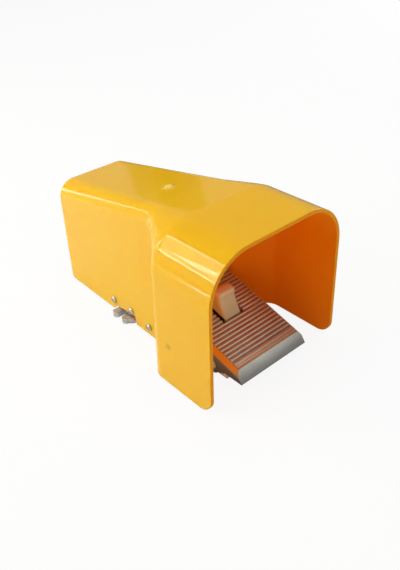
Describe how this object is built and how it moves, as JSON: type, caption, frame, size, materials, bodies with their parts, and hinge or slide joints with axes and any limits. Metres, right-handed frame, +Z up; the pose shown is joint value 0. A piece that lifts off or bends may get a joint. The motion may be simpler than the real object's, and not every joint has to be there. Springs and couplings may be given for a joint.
{
  "type": "pneumatic foot valve",
  "caption": "Treadle-operated pneumatic spool valve under a flared yellow guard hood, with a latch that holds the treadle down and rear-facing ports.",
  "frame": {"origin": "on the floor under the middle of the guard's box", "axes": "+Z up, the foot enters from -Y, ports face +Y, X across the treadle"},
  "size_m": [0.125, 0.2092, 0.1192],
  "materials": {
    "guard_yellow": "glossy moulded",
    "base_alloy": "as cast",
    "treadle_alloy": "satin",
    "latch_alloy": "matt",
    "valve_alloy": "anodised satin",
    "steel": "ground",
    "spring_steel": "drawn",
    "zinc_screw": "zinc plated",
    "bronze": "sintered",
    "brass": "turned",
    "black_rubber": "matt"
  },
  "bodies": {
    "base": {"base_casting": "base_alloy", "guard_cover": "guard_yellow", "guard_screws": "zinc_screw", "pivot_bushes": "bronze", "rest_buffer": "black_rubber", "stop_buffer": "black_rubber", "lock_keeper": "steel", "keeper_screws": "zinc_screw", "valve_body": "valve_alloy", "front_cap": "valve_alloy", "cap_gasket": "black_rubber", "cap_screws": "zinc_screw", "plunger_bush": "bronze", "plunger_wiper": "black_rubber", "spool_spring": "spring_steel", "end_plug": "brass", "end_plug_washer": "bronze", "valve_screws": "zinc_screw", "pedal_spring": "spring_steel"},
    "treadle": {"pedal_plate": "treadle_alloy", "pivot_pin": "steel", "pivot_clips": "spring_steel", "actuator_pad": "steel", "pad_screws": "zinc_screw", "lock_pin": "steel"},
    "latch": {"lock_lever": "latch_alloy", "lock_spring": "spring_steel"},
    "spool": {"plunger": "steel", "spool": "valve_alloy", "spool_seals": "black_rubber"}
  },
  "joints": [
    {"name": "treadle_press", "type": "hinge", "parent": "base", "child": "treadle", "pos_m": [0, -0.0734, 0.009], "axis": [-1, 0, 0], "range_deg": [0, 12], "stiffness_Nm_per_rad": 3, "springref_deg": -17.19, "deforming": ["pedal_spring"]},
    {"name": "latch_tilt", "type": "hinge", "parent": "treadle", "child": "latch", "pos_m": [0, -0.0487, 0.0209], "axis": [-1, 0, 0], "range_deg": [0, 21], "stiffness_Nm_per_rad": 0.05, "springref_deg": -28.65},
    {"name": "spool_slide", "type": "slide", "parent": "base", "child": "spool", "axis": [0, 1, 0], "range_m": [0, 0.0056], "stiffness_N_per_m": 600, "springref_m": -0.012, "deforming": ["spool_spring"]}
  ],
  "couplings": [
    {"joint": "spool_slide", "follows": "treadle_press", "m_per_rad": 0.025497}
  ]
}
